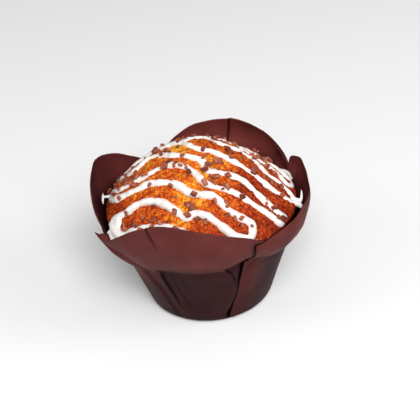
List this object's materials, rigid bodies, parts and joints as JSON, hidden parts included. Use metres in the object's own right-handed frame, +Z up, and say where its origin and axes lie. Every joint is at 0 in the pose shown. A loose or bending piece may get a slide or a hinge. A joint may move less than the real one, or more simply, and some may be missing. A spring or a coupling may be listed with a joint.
{
  "type": "muffin",
  "caption": "Domed muffin in a folded tulip paper case with a petal-shaped rim, topped with a zigzag of white icing and chopped chocolate; stands on its flat base.",
  "frame": {"origin": "centre of the flat base of the paper case, on the surface the muffin stands on", "axes": "+Z up through the crown of the cake, -Y out through the broad front petal, +X to the right of someone facing that petal"},
  "size_m": [0.0924, 0.0934, 0.0737],
  "materials": {
    "crust": "matte",
    "case_paper": "matte",
    "icing": "satin",
    "chocolate": "satin"
  },
  "bodies": {
    "root": {"cake": "crust", "chocolate_piece_01": "chocolate", "chocolate_piece_02": "chocolate", "chocolate_piece_03": "chocolate", "chocolate_piece_04": "chocolate", "chocolate_piece_05": "chocolate", "chocolate_piece_06": "chocolate", "chocolate_piece_07": "chocolate", "chocolate_piece_08": "chocolate", "chocolate_piece_09": "chocolate", "chocolate_piece_10": "chocolate", "chocolate_piece_11": "chocolate", "chocolate_piece_12": "chocolate", "chocolate_piece_13": "chocolate", "chocolate_piece_14": "chocolate", "chocolate_piece_15": "chocolate", "chocolate_piece_16": "chocolate", "chocolate_piece_17": "chocolate", "chocolate_piece_18": "chocolate", "chocolate_piece_19": "chocolate", "chocolate_piece_20": "chocolate", "chocolate_piece_21": "chocolate", "chocolate_piece_22": "chocolate", "chocolate_piece_23": "chocolate", "chocolate_piece_24": "chocolate", "chocolate_piece_25": "chocolate", "chocolate_piece_26": "chocolate", "chocolate_piece_27": "chocolate", "chocolate_piece_28": "chocolate", "chocolate_piece_29": "chocolate", "chocolate_piece_30": "chocolate", "chocolate_piece_31": "chocolate", "chocolate_piece_32": "chocolate", "chocolate_piece_33": "chocolate", "chocolate_piece_34": "chocolate", "chocolate_piece_35": "chocolate", "chocolate_piece_36": "chocolate", "chocolate_piece_37": "chocolate", "chocolate_piece_38": "chocolate", "chocolate_piece_39": "chocolate", "chocolate_piece_40": "chocolate", "chocolate_piece_41": "chocolate", "chocolate_piece_42": "chocolate", "chocolate_piece_43": "chocolate", "chocolate_piece_44": "chocolate", "chocolate_piece_45": "chocolate", "chocolate_piece_46": "chocolate", "icing_drizzle": "icing", "tulip_paper_case": "case_paper"}
  },
  "joints": []
}
